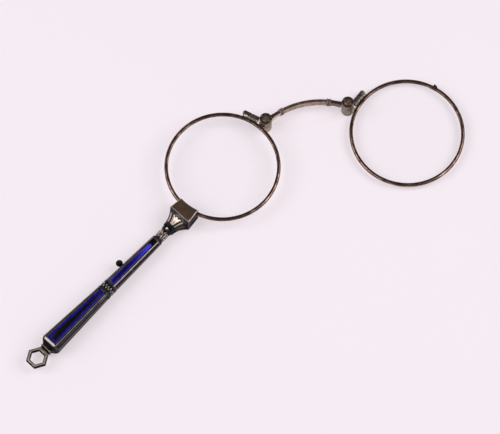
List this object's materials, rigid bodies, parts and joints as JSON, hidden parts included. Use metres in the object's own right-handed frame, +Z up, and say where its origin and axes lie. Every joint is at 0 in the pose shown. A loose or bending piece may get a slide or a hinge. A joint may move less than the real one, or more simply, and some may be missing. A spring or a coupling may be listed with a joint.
{
  "type": "folding lorgnette",
  "caption": "Folding lorgnette with round lenses, sprung hinged bridge, enamelled octagonal handle, hexagonal end ring and a slider catch.",
  "frame": {"origin": "axis of the hinge beside the fixed lens, on the plane that the piece lies on", "axes": "+X from that hinge to the other one, +Y away from the lenses over the bridge, +Z up through the lenses"},
  "size_m": [0.156, 0.0735, 0.0074],
  "materials": {
    "blue_enamel": "glossy translucent cobalt enamel",
    "dark_enamel": "glossy near-black enamel",
    "lens_glass": "clear polished glass",
    "spring_steel": "plain drawn steel",
    "screw_metal": "worn turned heads",
    "case_metal": "darkly tarnished silvered metal, milled and ruled",
    "rim_metal": "tarnished drawn wire with polished edges",
    "bridge_metal": "tarnished, bright on its worn edges",
    "head_metal": "tarnished cast and filed metal"
  },
  "bodies": {
    "handle": {"handle_lower_case": "case_metal", "handle_upper_case": "case_metal", "mid_band": "case_metal", "end_cap": "case_metal", "ring_eye": "head_metal", "front_enamel_lower": "blue_enamel", "front_inlay_lower": "dark_enamel", "front_enamel_upper": "blue_enamel", "front_inlay_upper": "dark_enamel", "back_enamel_lower": "blue_enamel", "back_inlay_lower": "dark_enamel", "back_enamel_upper": "blue_enamel", "back_inlay_upper": "dark_enamel", "ferrule": "head_metal", "flared_neck": "head_metal", "catch_housing": "head_metal", "rim_1": "rim_metal", "lens_1": "lens_glass", "closing_tubes_1": "rim_metal", "closing_screw_1": "screw_metal", "hinge_knuckle_1": "bridge_metal", "hinge_spring_1": "spring_steel", "catch_return_spring": "spring_steel"},
    "catch": {"slider_button": "head_metal", "slider_rod": "spring_steel", "catch_hook": "spring_steel"},
    "bridge": {"bridge_knuckle_1": "bridge_metal", "hinge_pin_1": "screw_metal", "bridge_arch": "bridge_metal", "bridge_collars": "bridge_metal", "bridge_knuckle_2": "bridge_metal", "hinge_spring_2": "spring_steel"},
    "lens_2_frame": {"rim_2": "rim_metal", "lens_2": "lens_glass", "closing_tubes_2": "rim_metal", "closing_screw_2": "screw_metal", "hinge_knuckle_2": "bridge_metal", "hinge_pin_2": "screw_metal", "catch_lug": "rim_metal"}
  },
  "joints": [
    {"name": "bridge_hinge", "type": "hinge", "parent": "handle", "child": "bridge", "pos_m": [0, 0, 0.0037], "axis": [0, 0, 1], "range_deg": [-93.65, 0], "stiffness_Nm_per_rad": 0.004, "springref_deg": 28.65},
    {"name": "lens_hinge", "type": "hinge", "parent": "bridge", "child": "lens_2_frame", "pos_m": [0.0276, 0, 0.0037], "axis": [0, 0, 1], "range_deg": [-93.65, 0], "stiffness_Nm_per_rad": 0.004, "springref_deg": 28.65},
    {"name": "catch_slide", "type": "slide", "parent": "handle", "child": "catch", "axis": [-0.8251, -0.565, 0], "range_m": [0, 0.0015], "stiffness_N_per_m": 300, "springref_m": -0.002}
  ]
}
